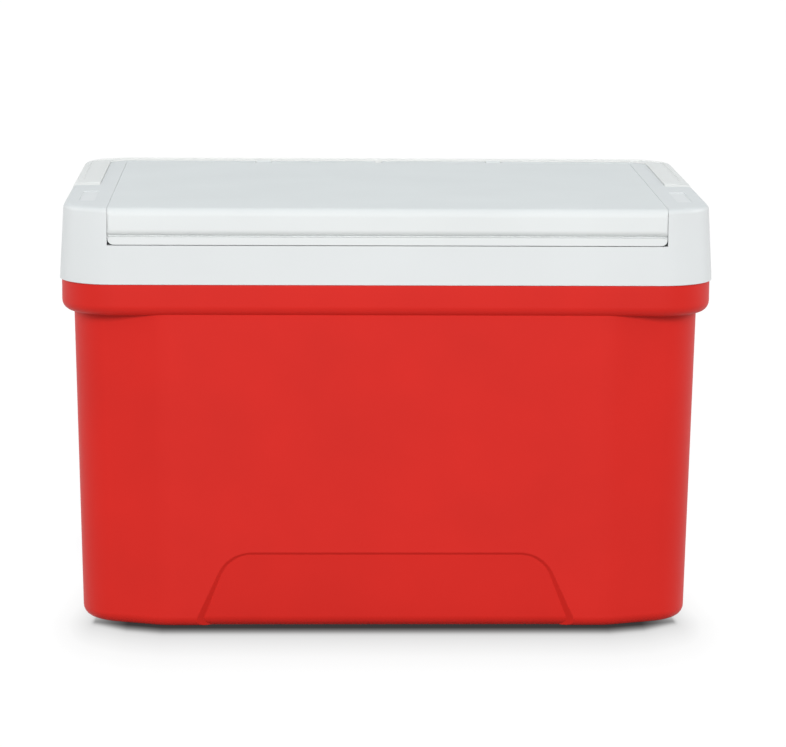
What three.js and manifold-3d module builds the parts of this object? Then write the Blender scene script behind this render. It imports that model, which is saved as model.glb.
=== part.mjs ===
// Small hard-sided cooler: a drafted red tub, a white rim collar, a hinged white lid and a
// swing-up carrying bail that lies folded back in a step of the collar.
// Millimetres, +Z up, front towards -Y, origin at the middle of the underside.

import * as THREE from 'three';
import { mergeVertices } from 'three/addons/utils/BufferGeometryUtils.js';
import Module from 'manifold-3d';

const wasm = await Module();
wasm.setup();

// ---------------------------------------------------------------- driving dimensions
const TOP_Z = 218.5; // lid top and front pads
const PIECE_GAP = 0.3; // clearance between neighbouring pieces

// Tub
const TUB_HALF_WIDTH = 157.6; // at the underside
const TUB_HALF_DEPTH = 109.0; // at the underside
const TUB_SIDE_DRAFT = 0.0208; // outward lean of the left and right sides per millimetre of height
const TUB_FRONT_DRAFT = 0.013; // the same for the front and back
const TUB_CORNER_RADIUS = 24;
const TUB_BEVEL_ANGLE = 18.5; // degrees, between the flat front and the corner bevel
const TUB_FLAT_HALF_WIDTH = 115; // where the flat front turns into the bevel
const TUB_WALL = 3;
const TUB_FOOT_ROUND = 5.5; // rounded edge of the underside
const FLANGE_BOTTOM_Z = 163.2;
const FLANGE_TOP_Z = 179.6;
const FLANGE_HALF_WIDTH = 166.7;
const FLANGE_HALF_DEPTH = 114;
const FLANGE_ROUND = 5; // rounded lower edge of the flange
const RIM_CORNER_RADIUS = 28;

// Arched panel sunk into the front and back of the tub
const ARCH_TOP_Z = 38.2;
const ARCH_FLAT_HALF_WIDTH = 69.1;
const ARCH_RADIUS = 18;
const ARCH_SLANT = 25.6; // degrees from the vertical
const ARCH_TOP_DEPTH = 1;
const ARCH_FOOT_DEPTH = 2.8;
const ARCH_BACKING = 5.4; // from the outer wall at the foot to the inner face of the backing
const BASE_GROOVE = { halfWidth: 128, halfDepth: 78, radius: 20, width: 6, depth: 1.2 };

// Storage cavity and liner
const MOUTH_HALF_WIDTH = 137;
const MOUTH_HALF_DEPTH = 88;
const MOUTH_RADIUS = 18;
const FLOOR_CORNER_RADIUS = 14; // corners of the cavity floor, tighter than the mouth's
const LINER_TOP_Z = 199;
const LINER_FLOOR_Z = 19;
const LINER_TAPER = 5; // the cavity floor is this much smaller on every side
const LINER_WALL = 2.3;
const LINER_LIP_HALF_WIDTH = 142.2;
const LINER_LIP_HALF_DEPTH = 93;
const LINER_LIP_RADIUS = 22;

// Rim collar
const COLLAR_BOTTOM_Z = 179.9;
const COLLAR_HALF_WIDTH = 167.7;
const COLLAR_HALF_DEPTH = 114.3;
const COLLAR_DRAFT = 0.053;
const COLLAR_EDGE = 1.6;
const COLLAR_WALL = 3;
const TONGUE_BOTTOM_Z = 168;
const TONGUE_CLEARANCE = 0.4; // between the collar's tongue and the inside of the flange
const TONGUE_WALL = 2.2;
const CHANNEL_TOP_Z = 193.4;
const LEDGE_Z = 199.6; // floor of the pocket that the lid sits in
const POCKET_HALF_WIDTH = 142.6;
const POCKET_BACK_Y = 95.2;
const PAD_BACK_Y = -15.5; // the front pads end here and the bail begins
const STEP_Z = 200.6; // floor of the step that the bail lies in
const RAIL_HALF_WIDTH = 151; // outer face of the inner side rails
const RAIL_RADIUS = 13;
const BACK_BAR_Y = 101.4; // rear face of the bar that carries the hinges
const BACK_NOTCH = { width: 4, depth: 1.2 }; // across the middle of the back bar
const PAD_HOLLOW = { halfWidth: 7.5, halfLength: 37, radius: 5 }; // under each front pad
const PAD_RECESS = { x: 154, y: -61, width: 8, length: 42, radius: 2, depth: 0.9 };

// Lid
const LID_HALF_WIDTH = 142;
const LID_FRONT_Y = -113.4;
const LID_BACK_Y = 94;
const LID_BOTTOM_Z = 200;
const LID_WALL = 3;
const LIP_GROOVE_TOP_Z = 206;
const LIP_GROOVE_BOTTOM_Z = 204.4;
const LIP_GROOVE_DEPTH = 1.8;
const LIP_GROOVE_EDGE = 0.2;
const LID_EDGE = 4.5; // rounding of the front top edge
const LID_LOWER_CORNER = 4;
const LINER_PANEL = 2.3;
const PLUG_BOTTOM_Z = 190.5;
const PLUG_CLEARANCE = 2.4;
const PLUG_TAPER = 1.2;

// Hinges
const HINGE_X = 65;
const HINGE_Y = 98.2;
const HINGE_Z = 215.9;
const KNUCKLE_RADIUS = 3.2;
const KNUCKLE_WIDTH = 8;
const KNUCKLE_SIDE_GAP = 0.7;
const KNUCKLE_FLOOR_GAP = 2;
const HINGE_PIN_RADIUS = 1.4;
const HINGE_PIN_LENGTH = 26;

// Carrying bail
const BAIL_TOP_Z = 219.2;
const BAIL_BOTTOM_Z = 201.2;
const BAIL_INNER_HALF_WIDTH = 151.3;
const BAIL_OUTER_HALF_WIDTH = 165.8;
const BAIL_INNER_Y = 102;
const BAIL_OUTER_RADIUS = 26;
const BAIL_INNER_RADIUS = 13.5;
const BAIL_OUTER_Y = 112.9;
const BAIL_END_GAP = 0.9;
const BAIL_RIM = 4.4; // outer rim beside the shallow dish in the top face
const BAIL_DISH_DEPTH = 0.8;
const BAIL_DISH_MARGIN = 1; // inner rim beside the dish
const BAIL_SKIN = 2.6; // wall of the hollow underside
const BAIL_WEB = 4;
const PIVOT_SHAFT_RADIUS = 3.5;
const PIVOT_HEAD_RADIUS = 6;
const PIVOT_HEAD_THICKNESS = 2.2;
const PIVOT_INNER_X = 145;

const CORNER_STEPS = 6;
const FOOT_STEPS = 3;
const ROUND_STEPS = 24;
const OVERSHOOT = 12; // how far a cutting solid runs past the face that it cuts
const OVERLAP = 1; // how far joined solids run into each other

const TONGUE_HALF_WIDTH = FLANGE_HALF_WIDTH - TUB_WALL - TONGUE_CLEARANCE;
const TONGUE_HALF_DEPTH = FLANGE_HALF_DEPTH - TUB_WALL - TONGUE_CLEARANCE;
const BAIL_HEIGHT = BAIL_TOP_Z - BAIL_BOTTOM_Z;
const BAIL_PIVOT_Y = PAD_BACK_Y + BAIL_END_GAP + BAIL_HEIGHT / 2;
const BAIL_PIVOT_Z = (BAIL_TOP_Z + BAIL_BOTTOM_Z) / 2;
const SIDES = [['left', -1], ['right', 1]];

// ---------------------------------------------------------------- materials
function plastic(color, roughness) {
  return new THREE.MeshStandardMaterial({ color, roughness, metalness: 0 });
}

const redPlastic = plastic(0xd3322b, 0.5);
const whitePlastic = plastic(0xeaebeb, 0.42);
const linerPlastic = plastic(0xf1f1ee, 0.4);
const foam = plastic(0xe9dfb8, 0.9);
const steel = new THREE.MeshStandardMaterial({ color: 0xb4b6b8, roughness: 0.35, metalness: 1 });

// ---------------------------------------------------------------- solids
function solidFrom(geometry) {
  const bare = geometry.clone();
  bare.deleteAttribute('normal');
  bare.deleteAttribute('uv');
  const merged = mergeVertices(bare);
  return new wasm.Manifold(new wasm.Mesh({
    numProp: 3,
    vertProperties: new Float32Array(merged.attributes.position.array),
    triVerts: new Uint32Array(merged.index.array),
  }));
}

function meshFrom(name, solid, material) {
  const data = solid.getMesh();
  const geometry = new THREE.BufferGeometry();
  geometry.setAttribute('position', new THREE.BufferAttribute(data.vertProperties, 3));
  geometry.setIndex(new THREE.BufferAttribute(data.triVerts, 1));
  geometry.computeVertexNormals();
  const mesh = new THREE.Mesh(geometry, material);
  mesh.name = name;
  return mesh;
}

// Box between two corners.
function block(low, high) {
  const size = high.map((value, axis) => value - low[axis]);
  const geometry = new THREE.BoxGeometry(...size);
  geometry.translate(...low.map((value, axis) => value + size[axis] / 2));
  return solidFrom(geometry);
}

// Round bar along X between two x values.
function roundBar(x0, x1, y, z, radius) {
  const length = Math.abs(x1 - x0);
  const geometry = new THREE.CylinderGeometry(radius, radius, length, ROUND_STEPS);
  geometry.rotateZ(Math.PI / 2);
  geometry.translate((x0 + x1) / 2, y, z);
  return solidFrom(geometry);
}

// Closed solid through a stack of counter-clockwise outlines with equal point counts, lowest first.
function loft(sections) {
  const count = sections[0].outline.length;
  const positions = [];
  for (const section of sections) {
    for (const point of section.outline) {
      positions.push(point.x, point.y, section.z);
    }
  }
  const topStart = (sections.length - 1) * count;
  const indices = [];
  for (const [a, b, c] of THREE.ShapeUtils.triangulateShape(sections[0].outline, [])) {
    indices.push(c, b, a);
  }
  for (const [a, b, c] of THREE.ShapeUtils.triangulateShape(sections.at(-1).outline, [])) {
    indices.push(topStart + a, topStart + b, topStart + c);
  }
  for (let low = 0; low < topStart; low += count) {
    for (let i = 0; i < count; i += 1) {
      const next = (i + 1) % count;
      indices.push(low + i, low + next, low + count + next);
      indices.push(low + i, low + count + next, low + count + i);
    }
  }
  const geometry = new THREE.BufferGeometry();
  geometry.setAttribute('position', new THREE.Float32BufferAttribute(positions, 3));
  geometry.setIndex(indices);
  return solidFrom(geometry);
}

// Plan outline: straight sides, corner arcs, and an optional bevel between each arc and the
// flat front or back. Counter-clockwise, symmetric in X and Y.
function planOutline(halfWidth, halfDepth, radius, bevelDegrees = 0, flatHalfWidth = 0) {
  const bevel = THREE.MathUtils.degToRad(bevelDegrees);
  const centreX = halfWidth - radius;
  const bevelReach = Math.sin(bevel) * flatHalfWidth + Math.cos(bevel) * halfDepth;
  const centreY = (bevelReach - radius - Math.sin(bevel) * centreX) / Math.cos(bevel);
  const quadrant = [];
  for (let step = 0; step <= CORNER_STEPS; step += 1) {
    const angle = (Math.PI / 2 - bevel) * step / CORNER_STEPS;
    quadrant.push([centreX + radius * Math.cos(angle), centreY + radius * Math.sin(angle)]);
  }
  quadrant.push([flatHalfWidth || centreX / 2, halfDepth]);
  const reversed = [...quadrant].reverse();
  return [
    ...quadrant,
    ...reversed.map(([x, y]) => [-x, y]),
    ...quadrant.map(([x, y]) => [-x, -y]),
    ...reversed.map(([x, y]) => [x, -y]),
  ].map(([x, y]) => new THREE.Vector2(x, y));
}

// Rounded block of constant or tapering plan.
function roundedBlock(halfWidth, halfDepth, radius, z0, z1, taper = 0) {
  return loft([
    { z: z0, outline: planOutline(halfWidth - taper, halfDepth - taper, radius) },
    { z: z1, outline: planOutline(halfWidth, halfDepth, radius) },
  ]);
}

// Prism of a closed (y, z) profile between two x values.
function prismAlongX(profile, x0, x1) {
  const shape = new THREE.Shape(profile.map(([y, z]) => new THREE.Vector2(y, z)));
  const geometry = new THREE.ExtrudeGeometry(shape, { depth: x1 - x0, bevelEnabled: false });
  geometry.rotateY(Math.PI / 2);
  geometry.rotateX(Math.PI / 2);
  geometry.translate(x0, 0, 0);
  return solidFrom(geometry);
}

// Prism of a THREE.Shape drawn in X and Z, between two y values.
function prismAlongY(shape, y0, y1) {
  const geometry = new THREE.ExtrudeGeometry(shape, {
    depth: y1 - y0,
    bevelEnabled: false,
    curveSegments: CORNER_STEPS,
  });
  geometry.rotateX(Math.PI / 2);
  geometry.translate(0, y1, 0);
  return solidFrom(geometry);
}

function subtractAll(solid, cutters) {
  return cutters.reduce((rest, cutter) => rest.subtract(cutter), solid);
}

function addAll(solid, extras) {
  return extras.reduce((sum, extra) => sum.add(extra), solid);
}

function mirrorY(solid) {
  return solid.mirror([0, 1, 0]);
}

// ---------------------------------------------------------------- tub
function tubOutline(z, inset) {
  const bevel = THREE.MathUtils.degToRad(TUB_BEVEL_ANGLE);
  return planOutline(
    TUB_HALF_WIDTH + TUB_SIDE_DRAFT * z - inset,
    TUB_HALF_DEPTH + TUB_FRONT_DRAFT * z - inset,
    TUB_CORNER_RADIUS - inset,
    TUB_BEVEL_ANGLE,
    TUB_FLAT_HALF_WIDTH - inset * Math.tan(bevel / 2),
  );
}

function rimOutline(halfWidth, halfDepth, radius) {
  return planOutline(halfWidth, halfDepth, radius, 0, TUB_FLAT_HALF_WIDTH);
}

// Sections of a quarter-round that starts at z and swells outwards as it rises.
function footSections(z, radius, outlineAt) {
  const sections = [];
  for (let step = 0; step <= FOOT_STEPS; step += 1) {
    const angle = Math.PI / 2 * step / FOOT_STEPS;
    const height = z + radius * (1 - Math.cos(angle));
    sections.push({ z: height, outline: outlineAt(height, radius * (1 - Math.sin(angle))) });
  }
  return sections;
}

// Tub body without its flange, with its walls drawn in by an extra depth at the foot and the arch top.
function tubBody(footInset, archInset) {
  const lean = (archInset - footInset) / ARCH_TOP_Z;
  const outlineAt = (z, inset) => tubOutline(z, inset + footInset + lean * z);
  const topZ = FLANGE_BOTTOM_Z + TUB_WALL;
  return loft([
    ...footSections(0, TUB_FOOT_ROUND, outlineAt),
    { z: ARCH_TOP_Z, outline: outlineAt(ARCH_TOP_Z, 0) },
    { z: topZ, outline: tubOutline(topZ, archInset) },
  ]);
}

function archShape(grow) {
  const slant = THREE.MathUtils.degToRad(ARCH_SLANT);
  const radius = ARCH_RADIUS + grow;
  const centreZ = ARCH_TOP_Z - ARCH_RADIUS;
  const tangentX = ARCH_FLAT_HALF_WIDTH + radius * Math.cos(slant);
  const tangentZ = centreZ + radius * Math.sin(slant);
  const footX = tangentX + (tangentZ + OVERSHOOT) * Math.tan(slant);
  const shape = new THREE.Shape();
  shape.moveTo(-footX, -OVERSHOOT);
  shape.lineTo(footX, -OVERSHOOT);
  shape.lineTo(tangentX, tangentZ);
  shape.absarc(ARCH_FLAT_HALF_WIDTH, centreZ, radius, slant, Math.PI / 2, false);
  shape.lineTo(-ARCH_FLAT_HALF_WIDTH, centreZ + radius);
  shape.absarc(-ARCH_FLAT_HALF_WIDTH, centreZ, radius, Math.PI / 2, Math.PI - slant, false);
  shape.closePath();
  return shape;
}

// The sunk panel leans in: shallow under its top line, deepest at its foot.
function archRecess() {
  return prismAlongY(archShape(0), -TUB_HALF_DEPTH - OVERSHOOT, -TUB_HALF_DEPTH / 2)
    .subtract(tubBody(ARCH_FOOT_DEPTH, ARCH_TOP_DEPTH));
}

// Space inside the red shell, drawn in by an extra clearance.
function shellCavity(clearance, topZ) {
  const floorZ = TUB_WALL + clearance;
  const inset = TUB_WALL + clearance;
  const jogZ = FLANGE_BOTTOM_Z - TUB_WALL;
  const space = loft([
    ...footSections(floorZ, TUB_FOOT_ROUND - TUB_WALL, (z, more) => tubOutline(z, inset + more)),
    { z: jogZ, outline: tubOutline(jogZ, inset) },
    { z: topZ, outline: tubOutline(jogZ, inset) },
  ]);
  const backing = prismAlongY(
    archShape(TUB_WALL + clearance),
    -TUB_HALF_DEPTH - OVERSHOOT,
    -(TUB_HALF_DEPTH - ARCH_BACKING) + clearance,
  );
  return subtractAll(space, [backing, mirrorY(backing)]);
}

function flangeOutline(inset) {
  return rimOutline(FLANGE_HALF_WIDTH - inset, FLANGE_HALF_DEPTH - inset, RIM_CORNER_RADIUS - inset);
}

function makeTubShell() {
  const flange = loft([
    ...footSections(FLANGE_BOTTOM_Z, FLANGE_ROUND, (z, inset) => flangeOutline(inset)),
    { z: FLANGE_TOP_Z, outline: flangeOutline(0) },
  ]);
  const flangeCavity = loft([
    { z: FLANGE_BOTTOM_Z + TUB_WALL, outline: flangeOutline(TUB_WALL) },
    { z: FLANGE_TOP_Z + OVERSHOOT, outline: flangeOutline(TUB_WALL) },
  ]);
  const { halfWidth, halfDepth, radius, width, depth } = BASE_GROOVE;
  const island = roundedBlock(halfWidth - width, halfDepth - width, radius - width, -OVERSHOOT, OVERSHOOT);
  const groove = roundedBlock(halfWidth, halfDepth, radius, -OVERSHOOT, depth).subtract(island);
  const recess = archRecess();
  const cutters = [shellCavity(0, FLANGE_TOP_Z), flangeCavity, recess, mirrorY(recess), groove];
  return meshFrom('tub_shell', subtractAll(tubBody(0, 0).add(flange), cutters), redPlastic);
}

function linerBucket(grow, topZ) {
  const floorZ = LINER_FLOOR_Z - grow;
  return loft([
    { z: floorZ, outline: planOutline(
      MOUTH_HALF_WIDTH - LINER_TAPER + grow,
      MOUTH_HALF_DEPTH - LINER_TAPER + grow,
      FLOOR_CORNER_RADIUS + grow,
    ) },
    { z: topZ, outline: planOutline(
      MOUTH_HALF_WIDTH + grow,
      MOUTH_HALF_DEPTH + grow,
      MOUTH_RADIUS + grow,
    ) },
  ]);
}

function makeTubLiner() {
  const lip = roundedBlock(
    LINER_LIP_HALF_WIDTH,
    LINER_LIP_HALF_DEPTH,
    LINER_LIP_RADIUS,
    LINER_TOP_Z - LINER_WALL,
    LINER_TOP_Z,
  );
  const bucket = linerBucket(LINER_WALL, LINER_TOP_Z).add(lip);
  const inside = linerBucket(0, LINER_TOP_Z + OVERSHOOT);
  return meshFrom('tub_liner', bucket.subtract(inside), linerPlastic);
}

function makeTubInsulation() {
  const insideTongue = roundedBlock(
    TONGUE_HALF_WIDTH - TONGUE_WALL - PIECE_GAP,
    TONGUE_HALF_DEPTH - TONGUE_WALL - PIECE_GAP,
    RIM_CORNER_RADIUS - TUB_WALL - TONGUE_WALL - PIECE_GAP,
    TONGUE_BOTTOM_Z - OVERLAP,
    CHANNEL_TOP_Z - PIECE_GAP,
  );
  const filled = shellCavity(PIECE_GAP, TONGUE_BOTTOM_Z - PIECE_GAP).add(insideTongue);
  const linerSpace = linerBucket(LINER_WALL + PIECE_GAP, LINER_TOP_Z);
  const collarSkirt = roundedBlock(
    MOUTH_HALF_WIDTH + LINER_WALL + 2 * PIECE_GAP + COLLAR_WALL,
    MOUTH_HALF_DEPTH + LINER_WALL + 2 * PIECE_GAP + COLLAR_WALL,
    MOUTH_RADIUS + LINER_WALL + 2 * PIECE_GAP + COLLAR_WALL,
    COLLAR_BOTTOM_Z - PIECE_GAP,
    LINER_TOP_Z,
  );
  return meshFrom('tub_insulation', subtractAll(filled, [linerSpace, collarSkirt]), foam);
}

// ---------------------------------------------------------------- rim collar
function collarOutline(z, inset) {
  const lean = COLLAR_DRAFT * (z - COLLAR_BOTTOM_Z);
  return rimOutline(
    COLLAR_HALF_WIDTH - lean - inset,
    COLLAR_HALF_DEPTH - lean - inset,
    RIM_CORNER_RADIUS - inset,
  );
}

function hingeBore(side) {
  const half = HINGE_PIN_LENGTH / 2 + PIECE_GAP;
  const centre = side * HINGE_X;
  return roundBar(centre - half, centre + half, HINGE_Y, HINGE_Z, HINGE_PIN_RADIUS + PIECE_GAP);
}

function hingeSlot(side) {
  const half = KNUCKLE_WIDTH / 2 + KNUCKLE_SIDE_GAP;
  return block(
    [side * HINGE_X - half, POCKET_BACK_Y - OVERLAP, HINGE_Z - KNUCKLE_RADIUS - KNUCKLE_FLOOR_GAP],
    [side * HINGE_X + half, BACK_BAR_Y + OVERLAP, TOP_Z + OVERSHOOT],
  );
}

function pivotBore(side) {
  const inner = PIVOT_INNER_X - PIECE_GAP;
  return roundBar(
    side * inner,
    side * (RAIL_HALF_WIDTH + OVERSHOOT),
    BAIL_PIVOT_Y,
    BAIL_PIVOT_Z,
    PIVOT_SHAFT_RADIUS + PIECE_GAP,
  );
}

function padRecess(side) {
  const { x, y, width, length, radius, depth } = PAD_RECESS;
  return roundedBlock(width / 2, length / 2, radius, TOP_Z - depth, TOP_Z + OVERSHOOT)
    .translate(side * x, y, 0);
}

function makeRimCollar() {
  const outer = loft([
    { z: COLLAR_BOTTOM_Z, outline: collarOutline(COLLAR_BOTTOM_Z, 0) },
    { z: TOP_Z - COLLAR_EDGE, outline: collarOutline(TOP_Z - COLLAR_EDGE, 0) },
    { z: TOP_Z, outline: collarOutline(TOP_Z, COLLAR_EDGE) },
  ]);
  const tongue = roundedBlock(
    TONGUE_HALF_WIDTH,
    TONGUE_HALF_DEPTH,
    RIM_CORNER_RADIUS - TUB_WALL,
    TONGUE_BOTTOM_Z,
    COLLAR_BOTTOM_Z + OVERLAP,
  );
  const mouthHalfWidth = MOUTH_HALF_WIDTH + LINER_WALL + PIECE_GAP;
  const mouthHalfDepth = MOUTH_HALF_DEPTH + LINER_WALL + PIECE_GAP;
  const mouthRadius = MOUTH_RADIUS + LINER_WALL + PIECE_GAP;
  const mouth = roundedBlock(mouthHalfWidth, mouthHalfDepth, mouthRadius, TONGUE_BOTTOM_Z - OVERSHOOT, TOP_Z);
  const skirt = roundedBlock(
    mouthHalfWidth + COLLAR_WALL,
    mouthHalfDepth + COLLAR_WALL,
    mouthRadius + COLLAR_WALL,
    COLLAR_BOTTOM_Z,
    TOP_Z,
  );
  const channel = roundedBlock(
    TONGUE_HALF_WIDTH - TONGUE_WALL,
    TONGUE_HALF_DEPTH - TONGUE_WALL,
    RIM_CORNER_RADIUS - TUB_WALL - TONGUE_WALL,
    TONGUE_BOTTOM_Z - OVERSHOOT,
    CHANNEL_TOP_Z,
  ).subtract(skirt);
  const pocket = block(
    [-POCKET_HALF_WIDTH, -COLLAR_HALF_DEPTH - OVERSHOOT, LEDGE_Z],
    [POCKET_HALF_WIDTH, POCKET_BACK_Y, TOP_Z + OVERSHOOT],
  );
  const lipRebate = roundedBlock(
    POCKET_HALF_WIDTH,
    LINER_LIP_HALF_DEPTH + PIECE_GAP,
    LINER_LIP_RADIUS,
    LINER_TOP_Z - LINER_WALL - PIECE_GAP,
    TOP_Z,
  );
  const bailRoom = block(
    [-COLLAR_HALF_WIDTH - OVERSHOOT, PAD_BACK_Y, STEP_Z],
    [COLLAR_HALF_WIDTH + OVERSHOOT, COLLAR_HALF_DEPTH + OVERSHOOT, TOP_Z + OVERSHOOT],
  );
  const rails = roundedBlock(RAIL_HALF_WIDTH, BACK_BAR_Y, RAIL_RADIUS, STEP_Z - OVERSHOOT, TOP_Z + OVERSHOOT);
  const backNotch = block(
    [-BACK_NOTCH.width / 2, POCKET_BACK_Y - OVERLAP, TOP_Z - BACK_NOTCH.depth],
    [BACK_NOTCH.width / 2, BACK_BAR_Y + OVERLAP, TOP_Z + OVERSHOOT],
  );
  const padHollows = SIDES.map(([, side]) => {
    const { halfWidth, halfLength, radius } = PAD_HOLLOW;
    const middle = side * (POCKET_HALF_WIDTH + COLLAR_HALF_WIDTH) / 2;
    return roundedBlock(halfWidth, halfLength, radius, CHANNEL_TOP_Z - OVERLAP, TOP_Z - COLLAR_WALL)
      .translate(middle, PAD_BACK_Y - COLLAR_WALL - halfLength, 0);
  });
  const cutters = [mouth, channel, pocket, lipRebate, bailRoom.subtract(rails), backNotch, ...padHollows];
  for (const [, side] of SIDES) {
    cutters.push(hingeBore(side), hingeSlot(side), pivotBore(side), padRecess(side));
  }
  return meshFrom('rim_collar', subtractAll(outer.add(tongue), cutters), whitePlastic);
}

// ---------------------------------------------------------------- lid
function lidFrontView() {
  const corner = LID_LOWER_CORNER;
  const shape = new THREE.Shape();
  shape.moveTo(-LID_HALF_WIDTH + corner, LID_BOTTOM_Z);
  shape.lineTo(LID_HALF_WIDTH - corner, LID_BOTTOM_Z);
  shape.quadraticCurveTo(LID_HALF_WIDTH, LID_BOTTOM_Z, LID_HALF_WIDTH, LID_BOTTOM_Z + corner);
  shape.lineTo(LID_HALF_WIDTH, TOP_Z);
  shape.lineTo(-LID_HALF_WIDTH, TOP_Z);
  shape.lineTo(-LID_HALF_WIDTH, LID_BOTTOM_Z + corner);
  shape.quadraticCurveTo(-LID_HALF_WIDTH, LID_BOTTOM_Z, -LID_HALF_WIDTH + corner, LID_BOTTOM_Z);
  return shape;
}

function lidSideProfile() {
  const profile = [
    [LID_BACK_Y, LID_BOTTOM_Z],
    [LID_BACK_Y, TOP_Z],
    [LID_FRONT_Y + LID_EDGE, TOP_Z],
  ];
  for (let step = 1; step <= CORNER_STEPS; step += 1) {
    const angle = Math.PI / 2 * (1 + step / CORNER_STEPS);
    profile.push([
      LID_FRONT_Y + LID_EDGE + LID_EDGE * Math.cos(angle),
      TOP_Z - LID_EDGE + LID_EDGE * Math.sin(angle),
    ]);
  }
  profile.push(
    [LID_FRONT_Y, LIP_GROOVE_TOP_Z],
    [LID_FRONT_Y + LIP_GROOVE_DEPTH, LIP_GROOVE_TOP_Z - LIP_GROOVE_EDGE],
    [LID_FRONT_Y + LIP_GROOVE_DEPTH, LIP_GROOVE_BOTTOM_Z + LIP_GROOVE_EDGE],
    [LID_FRONT_Y, LIP_GROOVE_BOTTOM_Z],
    [LID_FRONT_Y, LID_BOTTOM_Z],
  );
  return profile.reverse();
}

function makeLidCover() {
  const body = prismAlongX(lidSideProfile(), -LID_HALF_WIDTH, LID_HALF_WIDTH)
    .intersect(prismAlongY(lidFrontView(), LID_FRONT_Y - OVERSHOOT, LID_BACK_Y + OVERSHOOT));
  const wall = LID_WALL + LIP_GROOVE_DEPTH;
  const hollow = block(
    [-LID_HALF_WIDTH + LID_WALL, LID_FRONT_Y + wall, LID_BOTTOM_Z - OVERSHOOT],
    [LID_HALF_WIDTH - LID_WALL, LID_BACK_Y - LID_WALL, TOP_Z - LID_WALL],
  );
  const fingers = SIDES.map(([, side]) => {
    const x0 = side * HINGE_X - KNUCKLE_WIDTH / 2;
    const x1 = x0 + KNUCKLE_WIDTH;
    const arm = block([x0, LID_BACK_Y - OVERLAP, HINGE_Z - KNUCKLE_RADIUS], [x1, HINGE_Y, TOP_Z]);
    return roundBar(x0, x1, HINGE_Y, HINGE_Z, KNUCKLE_RADIUS).add(arm);
  });
  const cover = addAll(body.subtract(hollow), fingers);
  return meshFrom('lid_cover', subtractAll(cover, SIDES.map(([, side]) => hingeBore(side))), whitePlastic);
}

const PANEL_FRONT_Y = LID_FRONT_Y + LID_WALL + LIP_GROOVE_DEPTH + PIECE_GAP;
const PANEL_BACK_Y = LID_BACK_Y - LID_WALL - PIECE_GAP;
const PANEL_HALF_WIDTH = LID_HALF_WIDTH - LID_WALL - PIECE_GAP;
const PANEL_BOTTOM_Z = LID_BOTTOM_Z + PIECE_GAP;
const PLUG_HALF_WIDTH = MOUTH_HALF_WIDTH - PLUG_CLEARANCE;
const PLUG_HALF_DEPTH = MOUTH_HALF_DEPTH - PLUG_CLEARANCE;

function makeLidLiner() {
  const panel = block(
    [-PANEL_HALF_WIDTH, PANEL_FRONT_Y, PANEL_BOTTOM_Z],
    [PANEL_HALF_WIDTH, PANEL_BACK_Y, PANEL_BOTTOM_Z + LINER_PANEL],
  );
  const plug = roundedBlock(
    PLUG_HALF_WIDTH,
    PLUG_HALF_DEPTH,
    MOUTH_RADIUS - PLUG_CLEARANCE,
    PLUG_BOTTOM_Z,
    PANEL_BOTTOM_Z + OVERLAP,
    PLUG_TAPER,
  );
  const tray = roundedBlock(
    PLUG_HALF_WIDTH - LINER_PANEL,
    PLUG_HALF_DEPTH - LINER_PANEL,
    MOUTH_RADIUS - PLUG_CLEARANCE - LINER_PANEL,
    PLUG_BOTTOM_Z + LINER_PANEL,
    PANEL_BOTTOM_Z + OVERSHOOT,
    PLUG_TAPER,
  );
  return meshFrom('lid_liner', panel.add(plug).subtract(tray), linerPlastic);
}

function makeLidInsulation() {
  const upper = block(
    [-PANEL_HALF_WIDTH, PANEL_FRONT_Y, PANEL_BOTTOM_Z + LINER_PANEL + PIECE_GAP],
    [PANEL_HALF_WIDTH, PANEL_BACK_Y, TOP_Z - LID_WALL - PIECE_GAP],
  );
  const lower = roundedBlock(
    PLUG_HALF_WIDTH - LINER_PANEL - PIECE_GAP - PLUG_TAPER,
    PLUG_HALF_DEPTH - LINER_PANEL - PIECE_GAP - PLUG_TAPER,
    MOUTH_RADIUS - PLUG_CLEARANCE - LINER_PANEL,
    PLUG_BOTTOM_Z + LINER_PANEL + PIECE_GAP,
    PANEL_BOTTOM_Z + LINER_PANEL + OVERLAP,
  );
  return meshFrom('lid_insulation', upper.add(lower), foam);
}

function makeHingePin(name, side) {
  const half = HINGE_PIN_LENGTH / 2;
  const centre = side * HINGE_X;
  const pin = roundBar(centre - half, centre + half, HINGE_Y, HINGE_Z, HINGE_PIN_RADIUS);
  return meshFrom(`hinge_pin_${name}`, pin, steel);
}

// ---------------------------------------------------------------- carrying bail
// U-shaped band in plan, open to the front, between two distances from the bail's outer face.
function bailBand(outerInset, innerInset, z0, z1) {
  const width = BAIL_OUTER_HALF_WIDTH;
  const depth = BAIL_OUTER_Y;
  const radius = BAIL_OUTER_RADIUS;
  const outer = roundedBlock(width - outerInset, depth - outerInset, radius - outerInset, z0, z1);
  const inner = roundedBlock(
    BAIL_INNER_HALF_WIDTH + innerInset,
    BAIL_INNER_Y + innerInset,
    BAIL_INNER_RADIUS + innerInset,
    z0 - OVERLAP,
    z1 + OVERLAP,
  );
  const front = block(
    [-width - OVERLAP, -depth - OVERLAP, z0 - OVERLAP],
    [width + OVERLAP, PAD_BACK_Y, z1 + OVERLAP],
  );
  return subtractAll(outer, [inner, front]);
}

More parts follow.
